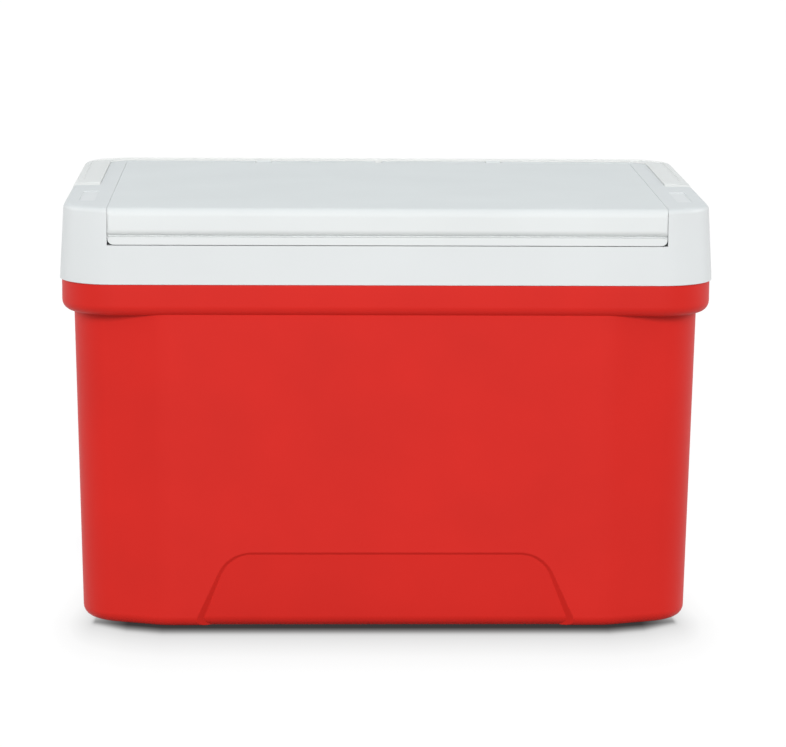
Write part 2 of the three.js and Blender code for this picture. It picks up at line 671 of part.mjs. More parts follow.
function makeBailHandle() {
  const band = bailBand(0, 0, BAIL_BOTTOM_Z, BAIL_TOP_Z);
  const dish = bailBand(BAIL_RIM, BAIL_DISH_MARGIN, BAIL_TOP_Z - BAIL_DISH_DEPTH, BAIL_TOP_Z + OVERSHOOT);
  const hollow = bailBand(
    BAIL_SKIN,
    BAIL_SKIN,
    BAIL_BOTTOM_Z - OVERSHOOT,
    BAIL_TOP_Z - BAIL_DISH_DEPTH - BAIL_WEB,
  );
  const solidEnds = block(
    [-COLLAR_HALF_WIDTH, PAD_BACK_Y - OVERLAP, BAIL_BOTTOM_Z - 2 * OVERSHOOT],
    [COLLAR_HALF_WIDTH, BAIL_PIVOT_Y + BAIL_HEIGHT / 2 + OVERLAP, BAIL_TOP_Z + 2 * OVERSHOOT],
  );
  const endTrim = block(
    [-COLLAR_HALF_WIDTH, PAD_BACK_Y - OVERLAP, BAIL_BOTTOM_Z - OVERLAP],
    [COLLAR_HALF_WIDTH, BAIL_PIVOT_Y, BAIL_TOP_Z + OVERLAP],
  ).subtract(roundBar(
    -COLLAR_HALF_WIDTH - OVERLAP,
    COLLAR_HALF_WIDTH + OVERLAP,
    BAIL_PIVOT_Y,
    BAIL_PIVOT_Z,
    BAIL_HEIGHT / 2,
  ));
  const cutters = [dish.subtract(solidEnds), hollow.subtract(solidEnds), endTrim];
  for (const [, side] of SIDES) {
    const headSeat = BAIL_OUTER_HALF_WIDTH - PIVOT_HEAD_THICKNESS - 2 * PIECE_GAP;
    cutters.push(
      roundBar(
        side * (BAIL_INNER_HALF_WIDTH - OVERLAP),
        side * (BAIL_OUTER_HALF_WIDTH + OVERLAP),
        BAIL_PIVOT_Y,
        BAIL_PIVOT_Z,
        PIVOT_SHAFT_RADIUS + PIECE_GAP,
      ),
      roundBar(
        side * headSeat,
        side * (BAIL_OUTER_HALF_WIDTH + OVERLAP),
        BAIL_PIVOT_Y,
        BAIL_PIVOT_Z,
        PIVOT_HEAD_RADIUS + PIECE_GAP,
      ),
    );
  }
  return meshFrom('bail_handle', subtractAll(band, cutters), whitePlastic);
}

function makeBailPivot(name, side) {
  const headOuter = BAIL_OUTER_HALF_WIDTH - PIECE_GAP;
  const headInner = headOuter - PIVOT_HEAD_THICKNESS;
  const shaft = roundBar(
    side * PIVOT_INNER_X,
    side * (headInner + OVERLAP),
    BAIL_PIVOT_Y,
    BAIL_PIVOT_Z,
    PIVOT_SHAFT_RADIUS,
  );
  const head = roundBar(
    side * headInner,
    side * headOuter,
    BAIL_PIVOT_Y,
    BAIL_PIVOT_Z,
    PIVOT_HEAD_RADIUS,
  );
  return meshFrom(`bail_pivot_${name}`, shaft.add(head), whitePlastic);
}

// ---------------------------------------------------------------- assembly
const cooler = new THREE.Group();

const tub = new THREE.Group();
tub.add(makeTubShell(), makeTubInsulation(), makeTubLiner(), makeRimCollar());

const lid = new THREE.Group();
lid.add(makeLidCover(), makeLidInsulation(), makeLidLiner());

const bail = new THREE.Group();
bail.add(makeBailHandle());

for (const [name, side] of SIDES) {
  tub.add(makeHingePin(name, side), makeBailPivot(name, side));
}

cooler.add(tub, lid, bail);

export default cooler;
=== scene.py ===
"""Small hard cooler: fine surfaces, materials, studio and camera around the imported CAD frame."""

import math

import bmesh
import bpy
from mathutils import Matrix, Vector


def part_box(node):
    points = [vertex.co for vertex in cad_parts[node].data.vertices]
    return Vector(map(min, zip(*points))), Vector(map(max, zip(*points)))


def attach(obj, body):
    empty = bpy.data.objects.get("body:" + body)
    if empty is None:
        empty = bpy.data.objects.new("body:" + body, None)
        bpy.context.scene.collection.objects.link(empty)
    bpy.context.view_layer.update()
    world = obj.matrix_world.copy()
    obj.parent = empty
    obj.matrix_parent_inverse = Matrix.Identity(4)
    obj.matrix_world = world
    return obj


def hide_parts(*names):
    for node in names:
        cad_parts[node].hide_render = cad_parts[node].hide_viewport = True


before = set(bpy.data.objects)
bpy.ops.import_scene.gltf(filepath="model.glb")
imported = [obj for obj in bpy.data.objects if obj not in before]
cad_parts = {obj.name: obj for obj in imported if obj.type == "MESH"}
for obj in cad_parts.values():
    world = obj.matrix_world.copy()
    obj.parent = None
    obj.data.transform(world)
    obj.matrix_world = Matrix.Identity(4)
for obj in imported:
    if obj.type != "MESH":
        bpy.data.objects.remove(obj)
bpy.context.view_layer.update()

MM = 0.001

# ---------------------------------------------------------------- sizes, from the frame and a few dimensions
_, shell_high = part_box("tub_shell")
collar_low, collar_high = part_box("rim_collar")
cover_low, cover_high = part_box("lid_cover")
panel_low, panel_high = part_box("lid_liner")
liner_low, liner_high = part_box("tub_liner")
bail_low, bail_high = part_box("bail_handle")
pivot_low, pivot_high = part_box("bail_pivot_right")
pin_low, pin_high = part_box("hinge_pin_right")

TOP_Z = collar_high.z
GAP = 0.3 * MM
HAIRLINE = 0.15 * MM  # gap that reads as a thin line beside the lid and the bail

# Tub, its width and depth taken at the underside
TUB_HALF_WIDTH = 157.6 * MM
TUB_HALF_DEPTH = 109.0 * MM
TUB_SIDE_DRAFT = 0.0208
TUB_FRONT_DRAFT = 0.013
TUB_CORNER = 24 * MM
TUB_BEVEL = math.radians(18.5)
TUB_FLAT_HALF_WIDTH = 115 * MM
TUB_BLEND = 30 * MM
TUB_WALL = 3 * MM
TUB_FOOT_ROUND = 5.5 * MM
FLANGE_BOTTOM_Z = 163.2 * MM
FLANGE_ROUND = 5.5 * MM
FLANGE_TOP_ROUND = 0.5 * MM
RIM_CORNER = 28 * MM
ARCH_TOP_Z = 38.2 * MM
ARCH_FLAT_HALF_WIDTH = 69.1 * MM
ARCH_RADIUS = 18 * MM
ARCH_SLANT = math.radians(25.6)
ARCH_TOP_DEPTH = 1.0 * MM
ARCH_FOOT_DEPTH = 2.8 * MM
ARCH_WALL_SLOPE = 1.3  # how far the step round the arch spreads for each millimetre of its depth
ARCH_BACKING = 5.4 * MM
BASE_GROOVE_HALF_WIDTH = 128 * MM
BASE_GROOVE_HALF_DEPTH = 78 * MM
BASE_GROOVE_CORNER = 20 * MM
BASE_GROOVE_WIDTH = 6 * MM
BASE_GROOVE_DEPTH = 1.2 * MM

# Liner and mouth
MOUTH_HALF_WIDTH = 137 * MM
MOUTH_HALF_DEPTH = 88 * MM
MOUTH_RADIUS = 18 * MM
LINER_TAPER = 5 * MM
LINER_WALL = 2.3 * MM
LINER_FLOOR_Z = liner_low.z + LINER_WALL
LINER_FLOOR_ROUND = 7 * MM
LINER_CORNER_TAPER = 4 * MM
LIP_CORNER = MOUTH_RADIUS + 4 * MM
LIP_LOW_ROUND = 0.2 * MM
LIP_TOP_ROUND = 0.8 * MM

# Lid
LID_HALF_WIDTH = cover_high.x
LID_FRONT_Y = cover_low.y
LID_BACK_Y = 94 * MM
LID_BOTTOM_Z = cover_low.z
LID_WALL = 3 * MM
LID_TOP_ROUND = 4.5 * MM
LID_LIP_ROUND = 3.4 * MM
LID_LIP_TURN = 1.42 * math.pi  # direction in which the arc under the lip ends
LID_GROOVE_Z = TOP_Z - 14.1 * MM
LID_GROOVE_DEPTH = 2.6 * MM
LID_GROOVE_HEIGHT = 0.3 * MM
LID_STRIP_TOP_Z = LID_GROOVE_Z - 0.5 * MM
LID_STRIP_INSET = 0.1 * MM
LID_LOW_ROUND = 3.3 * MM
LID_CORNER = 1.5 * MM

# Panel and plug under the lid
PANEL_BOTTOM_Z = 200.7 * MM
PLUG_TOP_Z = 202 * MM
PLUG_ROOM = 2.4 * MM  # between the plug and the mouth
PLUG_CORNER = 15.6 * MM
PLUG_DRAFT = 0.11
PLUG_FOOT_ROUND = 2.6 * MM
PLUG_TOP_ROUND = 0.01 * MM
PLUG_WALL = 3.5 * MM
PLUG_FLOOR = 2.3 * MM
TRAY_CORNER = 12 * MM
PLUG_DISH_HALF_WIDTH = 112 * MM
PLUG_DISH_HALF_DEPTH = 63 * MM
PLUG_DISH_CORNER = 11 * MM
PLUG_DISH_FLARE = 2.2 * MM
PLUG_DISH_DEPTH = 1.0 * MM

# Rim collar
COLLAR_DRAFT = 0.053
COLLAR_LOW_ROUND = 0.2 * MM
COLLAR_TOP_ROUND = 2.6 * MM
COLLAR_WALL = 3 * MM
COLLAR_SKIRT_Z = shell_high.z + 0.1 * MM
TONGUE_HALF_WIDTH = 163.8 * MM
TONGUE_HALF_DEPTH = 110.6 * MM
TONGUE_CORNER = 25 * MM
TONGUE_TOP_Z = 181 * MM
TONGUE_WALL = 2.2 * MM
CHANNEL_TOP_Z = 193.4 * MM
LEDGE_Z = 199.6 * MM
POCKET_HALF_WIDTH = LID_HALF_WIDTH + HAIRLINE
POCKET_BACK_Y = 95.2 * MM
PAD_BACK_Y = -15.5 * MM
STEP_Z = 200.6 * MM
RAIL_HALF_WIDTH = 151 * MM
RAIL_CORNER = 13 * MM
BACK_BAR_Y = 101.4 * MM
NOTCH_HALF_WIDTH = 2 * MM
NOTCH_DEPTH = 1.2 * MM
PATCH_X = 154 * MM
PATCH_Y = -61 * MM
PATCH_HALF_WIDTH = 4 * MM
PATCH_HALF_DEPTH = 21 * MM
PATCH_CORNER = 2 * MM
PATCH_DEPTH = 0.4 * MM

# Hinges and bail
HINGE_X = (pin_low.x + pin_high.x) / 2
HINGE_Y = (pin_low.y + pin_high.y) / 2
HINGE_Z = (pin_low.z + pin_high.z) / 2
PIN_RADIUS = (pin_high.z - pin_low.z) / 2
KNUCKLE_RADIUS = cover_high.z - HINGE_Z
KNUCKLE_WIDTH = 8 * MM
KNUCKLE_SIDE_ROOM = 0.7 * MM
KNUCKLE_LOW_ROOM = 2 * MM
PIN_RIM = 0.4 * MM
PIVOT_Y = (pivot_low.y + pivot_high.y) / 2
PIVOT_Z = (pivot_low.z + pivot_high.z) / 2
PIVOT_HEAD_RADIUS = (pivot_high.z - pivot_low.z) / 2
PIVOT_SHAFT_RADIUS = 3.5 * MM
PIVOT_HEAD_THICKNESS = 2.2 * MM
PIVOT_RIM_ROUND = 0.9 * MM
PIVOT_DIMPLE_RADIUS = 2.6 * MM
PIVOT_DIMPLE_FLOOR = 2.2 * MM
PIVOT_DIMPLE_DEPTH = 0.5 * MM
BAIL_INNER_HALF_WIDTH = RAIL_HALF_WIDTH + HAIRLINE
BAIL_INNER_Y = 102 * MM
BAIL_INNER_CORNER = 13.5 * MM
BAIL_OUTER_CORNER = RIM_CORNER - 2 * MM
BAIL_END_RADIUS = (bail_high.z - bail_low.z) / 2
BAIL_LOW_ROUND = 1.2 * MM
BAIL_TOP_ROUND = 3.2 * MM
BAIL_WALL = 2.6 * MM
BAIL_ROOF = 5.4 * MM
BAIL_DISH_OUTER_EDGE = 4.4 * MM
BAIL_DISH_INNER_EDGE = 1.0 * MM
BAIL_DISH_DEPTH = 0.4 * MM

SIDES = (("left", -1), ("right", 1))
BEYOND = 12 * MM  # how far a cutter runs past the face that it cuts
NUDGE = 1 * MM  # the same next to another wall, and how far joined pieces overlap
WELD = 0.01 * MM  # points closer than this become one
CORNER_STEPS = 14
BLEND_STEPS = 5
FILLET_STEPS = 6


# ---------------------------------------------------------------- outlines
def arc(centre, radius, start, end, steps):
    """Points of an arc in a plane, both ends included."""
    points = []
    for i in range(steps + 1):
        a = start + (end - start) * i / steps
        points.append((centre[0] + radius * math.cos(a), centre[1] + radius * math.sin(a)))
    return points


def four_quadrants(quadrant):
    """A counter-clockwise outline from the points of its first quadrant."""
    backwards = quadrant[::-1]
    return (
        list(quadrant)
        + [(-x, y) for x, y in backwards]
        + [(-x, -y) for x, y in quadrant]
        + [(x, -y) for x, y in backwards]
    )


def rounded(half_x, half_y, radius, steps=CORNER_STEPS):
    return four_quadrants(arc((half_x - radius, half_y - radius), radius, 0, math.pi / 2, steps))


def tub_outline(z, inset):
    """Drafted tub in plan: side, corner arc, bevel, soft blend, flat front."""
    half_x = TUB_HALF_WIDTH + TUB_SIDE_DRAFT * z - inset
    half_y = TUB_HALF_DEPTH + TUB_FRONT_DRAFT * z - inset
    radius = TUB_CORNER - inset
    blend = TUB_BLEND - inset
    flat = TUB_FLAT_HALF_WIDTH - inset * math.tan(TUB_BEVEL / 2)
    centre_x = half_x - radius
    reach = math.sin(TUB_BEVEL) * flat + math.cos(TUB_BEVEL) * half_y
    centre_y = (reach - radius - math.sin(TUB_BEVEL) * centre_x) / math.cos(TUB_BEVEL)
    turn = math.pi / 2 - TUB_BEVEL
    blend_x = flat - blend * math.tan(TUB_BEVEL / 2)
    return four_quadrants(
        arc((centre_x, centre_y), radius, 0, turn, CORNER_STEPS)
        + arc((blend_x, half_y - blend), blend, turn, math.pi / 2, BLEND_STEPS)
    )


# ---------------------------------------------------------------- solids
def new_object(name, bm):
    bmesh.ops.recalc_face_normals(bm, faces=bm.faces)
    mesh = bpy.data.meshes.new(name)
    bm.to_mesh(mesh)
    bm.free()
    obj = bpy.data.objects.new(name, mesh)
    bpy.context.scene.collection.objects.link(obj)
    return obj


def loft(name, sections, place=None):
    """Closed solid through (height, outline) sections; place turns (x, y, height) into a point."""
    place = place or (lambda x, y, h: (x, y, h))
    bm = bmesh.new()
    rings = [[bm.verts.new(place(x, y, h)) for x, y in outline] for h, outline in sections]
    for low, high in zip(rings, rings[1:]):
        for i in range(len(low)):
            j = (i + 1) % len(low)
            bm.faces.new((low[i], low[j], high[j], high[i]))
    bm.faces.new(rings[0][::-1])
    bm.faces.new(rings[-1])
    return new_object(name, bm)


def prism_z(name, outline, z0, z1):
    return loft(name, [(z0, outline), (z1, outline)])


def prism_x(name, outline, x0, x1):
    """Prism of a (y, z) outline along X."""
    return loft(name, [(x0, outline), (x1, outline)], lambda y, z, x: (x, y, z))


def prism_y(name, outline, y0, y1):
    """Prism of an (x, z) outline along Y."""
    return loft(name, [(y0, outline), (y1, outline)], lambda x, z, y: (x, y, z))


def block(name, low, high):
    corners = [(low[0], low[1]), (high[0], low[1]), (high[0], high[1]), (low[0], high[1])]
    return prism_z(name, corners, low[2], high[2])


def bar_x(name, x0, x1, y, z, radius, steps=40):
    circle = arc((y, z), radius, 0, 2 * math.pi, steps)[:-1]
    return prism_x(name, circle, min(x0, x1), max(x0, x1))


def edge_rounded(outline_at, z0, z1, low_round, high_round, steps=FILLET_STEPS):
    """Sections from z0 to z1 with a quarter-round at each end; outline_at takes z and inset."""
    sections = []
    for i in range(steps + 1):
        a = math.pi / 2 * i / steps
        z = z0 + low_round * (1 - math.cos(a))
        sections.append((z, outline_at(z, low_round * (1 - math.sin(a)))))
    for i in range(steps + 1):
        a = math.pi / 2 * i / steps
        z = z1 - high_round * (1 - math.sin(a))
        sections.append((z, outline_at(z, high_round * (1 - math.cos(a)))))
    return sections


def combine(target, cutters, operation="DIFFERENCE"):
    """Joins or cuts target with each cutter for good, and throws the cutters away."""
    for cutter in cutters:
        step = target.modifiers.new("step", "BOOLEAN")
        step.operation = operation
        step.solver = "EXACT"
        step.object = cutter
        bpy.context.view_layer.objects.active = target
        bpy.ops.object.modifier_apply(modifier=step.name)
        bpy.data.objects.remove(cutter)
    return target


def mirrored_y(obj):
    """A copy of obj on the other side of the XZ plane."""
    copy = obj.copy()
    copy.data = obj.data.copy()
    copy.data.transform(Matrix.Scale(-1, 4, Vector((0, 1, 0))))
    copy.data.flip_normals()
    bpy.context.scene.collection.objects.link(copy)
    return copy


def finish_edges(obj, width, segments=3, angle=32):
    """Small moulded radius on every sharp edge, and clean shading on the flats."""
    mesh = obj.data
    bm = bmesh.new()
    bm.from_mesh(mesh)
    bmesh.ops.remove_doubles(bm, verts=bm.verts, dist=WELD)
    bmesh.ops.dissolve_degenerate(bm, edges=bm.edges, dist=WELD)
    bm.to_mesh(mesh)
    bm.free()
    for polygon in mesh.polygons:
        polygon.use_smooth = True
    bevel = obj.modifiers.new("edges", "BEVEL")
    bevel.width = width
    bevel.segments = segments
    bevel.limit_method = "ANGLE"
    bevel.angle_limit = math.radians(angle)
    bevel.use_clamp_overlap = True
    bevel.miter_outer = "MITER_ARC"
    normals = obj.modifiers.new("normals", "WEIGHTED_NORMAL")
    normals.mode = "FACE_AREA"
    normals.weight = 100
    return obj


# ---------------------------------------------------------------- materials
NOISE_LOW, NOISE_HIGH = 0.3, 0.7  # most of a noise texture lies between these
MOTTLE_SCALE = 22
GLOSS_SCALE = 45
GLOSS_SPREAD = 0.015  # how unevenly a moulded face shines


def node_material(name):
    material = bpy.data.materials.new(name)
    material.use_nodes = True
    tree = material.node_tree
    return material, tree, tree.nodes["Principled BSDF"]


def noise(tree, scale, detail=2.0):
    """Noise in metres, fixed to the piece."""
    where = tree.nodes.new("ShaderNodeTexCoord")
    texture = tree.nodes.new("ShaderNodeTexNoise")
    texture.inputs["Scale"].default_value = scale
    texture.inputs["Detail"].default_value = detail
    tree.links.new(where.outputs["Object"], texture.inputs["Vector"])
    return texture.outputs["Fac"]


def spread(tree, factor, low, high):
    """A factor stretched over a range of values."""
    node = tree.nodes.new("ShaderNodeMapRange")
    node.inputs["From Min"].default_value = NOISE_LOW
    node.inputs["From Max"].default_value = NOISE_HIGH
    node.inputs["To Min"].default_value = low
    node.inputs["To Max"].default_value = high
    tree.links.new(factor, node.inputs["Value"])
    return node.outputs["Result"]


def tinted(tree, factor, dark, light):
    node = tree.nodes.new("ShaderNodeMix")
    node.data_type = "RGBA"
    node.inputs["A"].default_value = (*dark, 1)
    node.inputs["B"].default_value = (*light, 1)
    tree.links.new(factor, node.inputs["Factor"])
    return node.outputs["Result"]


def moulded_plastic(name, color, roughness, grain, grain_scale, specular, variation=0.03):
    """Injection-moulded plastic: even colour with a faint mottle, fine grain, uneven gloss."""
    material, tree, shader = node_material(name)
    dark = tuple(c * (1 - variation) for c in color)
    light = tuple(min(1, c * (1 + variation)) for c in color)
    mottle = spread(tree, noise(tree, MOTTLE_SCALE, detail=3), 0, 1)
    tree.links.new(tinted(tree, mottle, dark, light), shader.inputs["Base Color"])
    gloss = spread(tree, noise(tree, GLOSS_SCALE), roughness - GLOSS_SPREAD, roughness + GLOSS_SPREAD)
    tree.links.new(gloss, shader.inputs["Roughness"])
    shader.inputs["Specular IOR Level"].default_value = specular
    bump = tree.nodes.new("ShaderNodeBump")
    bump.inputs["Strength"].default_value = 1
    bump.inputs["Distance"].default_value = grain
    tree.links.new(noise(tree, grain_scale, detail=3), bump.inputs["Height"])
    tree.links.new(bump.outputs["Normal"], shader.inputs["Normal"])
    return material


def rigid_foam(name):
    material, tree, shader = node_material(name)
    cells = spread(tree, noise(tree, 900, detail=4), 0, 1)
    color = tinted(tree, cells, (0.55, 0.45, 0.24), (0.78, 0.69, 0.44))
    tree.links.new(color, shader.inputs["Base Color"])
    shader.inputs["Roughness"].default_value = 0.9
    bump = tree.nodes.new("ShaderNodeBump")
    bump.inputs["Distance"].default_value = 0.3 * MM
    tree.links.new(cells, bump.inputs["Height"])
    tree.links.new(bump.outputs["Normal"], shader.inputs["Normal"])
    return material


def drawn_steel(name):
    material, tree, shader = node_material(name)
    streaks = spread(tree, noise(tree, 1500), 0.24, 0.38)
    tree.links.new(streaks, shader.inputs["Roughness"])
    shade = spread(tree, noise(tree, 300), 0, 1)
    tone = tinted(tree, shade, (0.42, 0.43, 0.44), (0.55, 0.56, 0.57))
    tree.links.new(tone, shader.inputs["Base Color"])
    shader.inputs["Metallic"].default_value = 1
    return material


RED = moulded_plastic(
    "red_plastic", (0.62, 0.016, 0.010),
    roughness=0.48, grain=0.014 * MM, grain_scale=2600, specular=0.21)
WHITE = moulded_plastic(
    "white_plastic", (0.69, 0.705, 0.705),
    roughness=0.42, grain=0.008 * MM, grain_scale=2400, specular=0.4, variation=0.012)
LID_WHITE = moulded_plastic(
    "lid_plastic", (0.73, 0.745, 0.74),
    roughness=0.62, grain=0.020 * MM, grain_scale=1900, specular=0.3, variation=0.015)
SMOOTH_WHITE = moulded_plastic(
    "white_plastic_smooth", (0.74, 0.75, 0.75),
    roughness=0.36, grain=0.002 * MM, grain_scale=900, specular=0.4, variation=0.012)
BAIL_WHITE = moulded_plastic(
    "bail_plastic", (0.775, 0.775, 0.755),
    roughness=0.34, grain=0.001 * MM, grain_scale=900, specular=0.45, variation=0.006)
LINER_WHITE = moulded_plastic(
    "liner_plastic", (0.80, 0.80, 0.78),
    roughness=0.32, grain=0.001 * MM, grain_scale=1500, specular=0.4, variation=0.006)
FOAM = rigid_foam("insulation_foam")
STEEL = drawn_steel("pin_steel")


def dress(obj, material, slot, body, *nodes):
    """Gives a piece its material and body, and lets it stand for its CAD node. The slot argument is not
    used.
    """
    obj.data.materials.clear()
    obj.data.materials.append(material)
    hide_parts(*nodes)
    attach(obj, body)
    return obj


# ---------------------------------------------------------------- tub
def arch_outline(grow):
    radius = ARCH_RADIUS + grow
    centre_z = ARCH_TOP_Z - ARCH_RADIUS
    right = arc((ARCH_FLAT_HALF_WIDTH, centre_z), radius, ARCH_SLANT, math.pi / 2, 12)
    tangent_x, tangent_z = right[0]
    foot_x = tangent_x + (tangent_z + BEYOND) * math.tan(ARCH_SLANT)
    left = [(-x, z) for x, z in right[::-1]]
    return [(foot_x, -BEYOND)] + right + left + [(-foot_x, -BEYOND)]


def tub_body(name, foot_inset, arch_inset):
    """The tub without its flange, drawn in by one depth at the foot and another at the arch's top."""
    lean = (arch_inset - foot_inset) / ARCH_TOP_Z

    def outline(z, inset):
        return tub_outline(z, inset + foot_inset + lean * min(z, ARCH_TOP_Z))

    sections = edge_rounded(outline, 0, ARCH_TOP_Z, TUB_FOOT_ROUND, 0)[:FILLET_STEPS + 2]
    top_z = FLANGE_BOTTOM_Z + TUB_WALL
    return loft(name, sections + [(top_z, outline(top_z, 0))])


def arch_recess():
    """The sunk front panel leans in: shallow under its top line, deepest at its foot."""
    middle_y = TUB_HALF_DEPTH - ARCH_FOOT_DEPTH / 4
    sections = []
    for y in (middle_y - BEYOND / 2, middle_y + BEYOND):
        sections.append((-y, arch_outline((y - middle_y) * ARCH_WALL_SLOPE)))
    recess = loft("arch", sections, lambda x, z, y: (x, y, z))
    return combine(recess, [tub_body("sunk", ARCH_FOOT_DEPTH, ARCH_TOP_DEPTH)])


def base_groove():
    """Cutter for the ring groove in the underside."""
    half_x, half_y, corner = BASE_GROOVE_HALF_WIDTH, BASE_GROOVE_HALF_DEPTH, BASE_GROOVE_CORNER
    width = BASE_GROOVE_WIDTH
    groove = prism_z("groove", rounded(half_x, half_y, corner), -BEYOND, BASE_GROOVE_DEPTH)
    inner = rounded(half_x - width, half_y - width, corner - width)
    return combine(groove, [prism_z("island", inner, -2 * BEYOND, BEYOND)])


def make_tub_shell():
    body = tub_body("tub_shell_skin", 0, 0)
    half_x, half_y = shell_high.x, shell_high.y
    flange = loft("flange", edge_rounded(
        lambda z, inset: rounded(half_x - inset, half_y - inset, RIM_CORNER - inset),
        FLANGE_BOTTOM_Z, shell_high.z, FLANGE_ROUND, FLANGE_TOP_ROUND))
    combine(body, [flange], "UNION")
    inside = loft("inside", edge_rounded(
        lambda z, inset: tub_outline(z, inset + TUB_WALL),
        TUB_WALL, shell_high.z + BEYOND, TUB_FOOT_ROUND - TUB_WALL, 0)[:-FILLET_STEPS])
    backing = prism_y("backing", arch_outline(TUB_WALL), -TUB_HALF_DEPTH - BEYOND,
                      -TUB_HALF_DEPTH + ARCH_BACKING)
    combine(inside, [mirrored_y(backing), backing])
    rim_inside = rounded(half_x - TUB_WALL, half_y - TUB_WALL, RIM_CORNER - TUB_WALL)
    rim_room = prism_z("rim_room", rim_inside, FLANGE_BOTTOM_Z + TUB_WALL, shell_high.z + BEYOND)
    recess = arch_recess()
    groove = base_groove()
    combine(body, [inside, rim_room, mirrored_y(recess), recess, groove])
    finish_edges(body, width=0.45 * MM)
    return dress(body, RED, "red_plastic", "tub", "tub_shell")


def liner_outline(z, grow):
    """Inside of the liner at a height, or its outside when grown by the wall."""
    share = (z - LINER_FLOOR_Z) / (liner_high.z - LINER_FLOOR_Z)
    depth = 1 - min(1, max(0, share))
    taper = LINER_TAPER * depth
    radius = MOUTH_RADIUS - LINER_CORNER_TAPER * depth
    return rounded(MOUTH_HALF_WIDTH - taper + grow, MOUTH_HALF_DEPTH - taper + grow, radius + grow)


def liner_bucket(name, floor_z, top_z, grow, floor_round):
    sections = []
    for i in range(FILLET_STEPS + 1):
        a = math.pi / 2 * i / FILLET_STEPS
        z = floor_z + floor_round * (1 - math.cos(a))
        sections.append((z, liner_outline(z, grow - floor_round * (1 - math.sin(a)))))
    sections.append((top_z, liner_outline(top_z, grow)))
    return loft(name, sections)


def make_tub_liner():
    bucket = liner_bucket("tub_liner_skin", liner_low.z, liner_high.z, LINER_WALL,
                          LINER_FLOOR_ROUND + LINER_WALL)
    lip = loft("lip", edge_rounded(
        lambda z, inset: rounded(liner_high.x - inset, liner_high.y - inset, LIP_CORNER - inset),
        liner_high.z - LINER_WALL, liner_high.z, LIP_LOW_ROUND, LIP_TOP_ROUND))
    combine(bucket, [lip], "UNION")
    inside = liner_bucket("inside", LINER_FLOOR_Z, liner_high.z + BEYOND, 0, LINER_FLOOR_ROUND)
    combine(bucket, [inside])
    finish_edges(bucket, width=0.9 * MM)
    return dress(bucket, LINER_WHITE, "liner_plastic", "tub", "tub_liner")


# ---------------------------------------------------------------- rim collar
def collar_outline(z, inset):
    lean = COLLAR_DRAFT * (z - COLLAR_SKIRT_Z)
    return rounded(collar_high.x - lean - inset, collar_high.y - lean - inset, RIM_CORNER - inset)


def collar_hollows():
    """Cutters for the mouth, the channel over the tub's rim, the lid's pocket and the bail's step."""
    grow = LINER_WALL + GAP
    mouth_x, mouth_y, mouth_r = MOUTH_HALF_WIDTH + grow, MOUTH_HALF_DEPTH + grow, MOUTH_RADIUS + grow
    mouth = prism_z("mouth", rounded(mouth_x, mouth_y, mouth_r), collar_low.z - BEYOND, TOP_Z)
    wall = COLLAR_WALL
    skirt = prism_z("skirt", rounded(mouth_x + wall, mouth_y + wall, mouth_r + wall), COLLAR_SKIRT_Z, TOP_Z)
    thin = TONGUE_WALL
    channel_plan = rounded(TONGUE_HALF_WIDTH - thin, TONGUE_HALF_DEPTH - thin, TONGUE_CORNER - thin)
    channel = prism_z("channel", channel_plan, collar_low.z - BEYOND, CHANNEL_TOP_Z)
    combine(channel, [skirt])
    pocket = block("pocket", (-POCKET_HALF_WIDTH, -collar_high.y - BEYOND, LEDGE_Z),
                   (POCKET_HALF_WIDTH, POCKET_BACK_Y, TOP_Z + BEYOND))
    rebate = prism_z("rebate", rounded(POCKET_HALF_WIDTH, liner_high.y + GAP, LIP_CORNER),
                     liner_high.z - LINER_WALL - GAP, TOP_Z)
    room = block("room", (-collar_high.x - BEYOND, PAD_BACK_Y, STEP_Z),
                 (collar_high.x + BEYOND, collar_high.y + BEYOND, TOP_Z + BEYOND))
    rails = prism_z("rails", rounded(RAIL_HALF_WIDTH, BACK_BAR_Y, RAIL_CORNER),
                    STEP_Z - BEYOND, TOP_Z + 2 * BEYOND)
    combine(room, [rails])
    notch = block("notch", (-NOTCH_HALF_WIDTH, POCKET_BACK_Y - NUDGE, TOP_Z - NOTCH_DEPTH),
                  (NOTCH_HALF_WIDTH, BACK_BAR_Y + NUDGE, TOP_Z + NUDGE))
    return [mouth, channel, pocket, rebate, room, notch]


def collar_side_cutters(side):
    """Cutters for one side's hinge pin, knuckle, bail pivot and pad patch."""
    centre = side * HINGE_X
    reach = (pin_high.x - pin_low.x) / 2 + GAP
    half_slot = KNUCKLE_WIDTH / 2 + KNUCKLE_SIDE_ROOM
    slot_floor_z = HINGE_Z - KNUCKLE_RADIUS - KNUCKLE_LOW_ROOM
    bore = bar_x("bore", centre - reach, centre + reach, HINGE_Y, HINGE_Z, PIN_RADIUS + GAP)
    slot = block("slot", (centre - half_slot, POCKET_BACK_Y - NUDGE, slot_floor_z),
                 (centre + half_slot, BACK_BAR_Y + NUDGE, TOP_Z + NUDGE))
    pivot = bar_x("pivot", side * (pivot_low.x - GAP), side * (RAIL_HALF_WIDTH + BEYOND),
                  PIVOT_Y, PIVOT_Z, PIVOT_SHAFT_RADIUS + GAP)
    patch = prism_z("patch", rounded(PATCH_HALF_WIDTH, PATCH_HALF_DEPTH, PATCH_CORNER, 6),
                    TOP_Z - PATCH_DEPTH, TOP_Z + NUDGE)
    patch.data.transform(Matrix.Translation((side * PATCH_X, PATCH_Y, 0)))
    return [bore, slot, pivot, patch]


def smooth_patches(body):
    """Gives the floors of the two pad patches the smoother white."""
    tolerance = 0.05 * MM
    body.data.materials.append(SMOOTH_WHITE)
    for polygon in body.data.polygons:
        on_floor = abs(polygon.center.z - (TOP_Z - PATCH_DEPTH)) < tolerance
        if on_floor and polygon.center.y < PAD_BACK_Y:
            polygon.material_index = 1


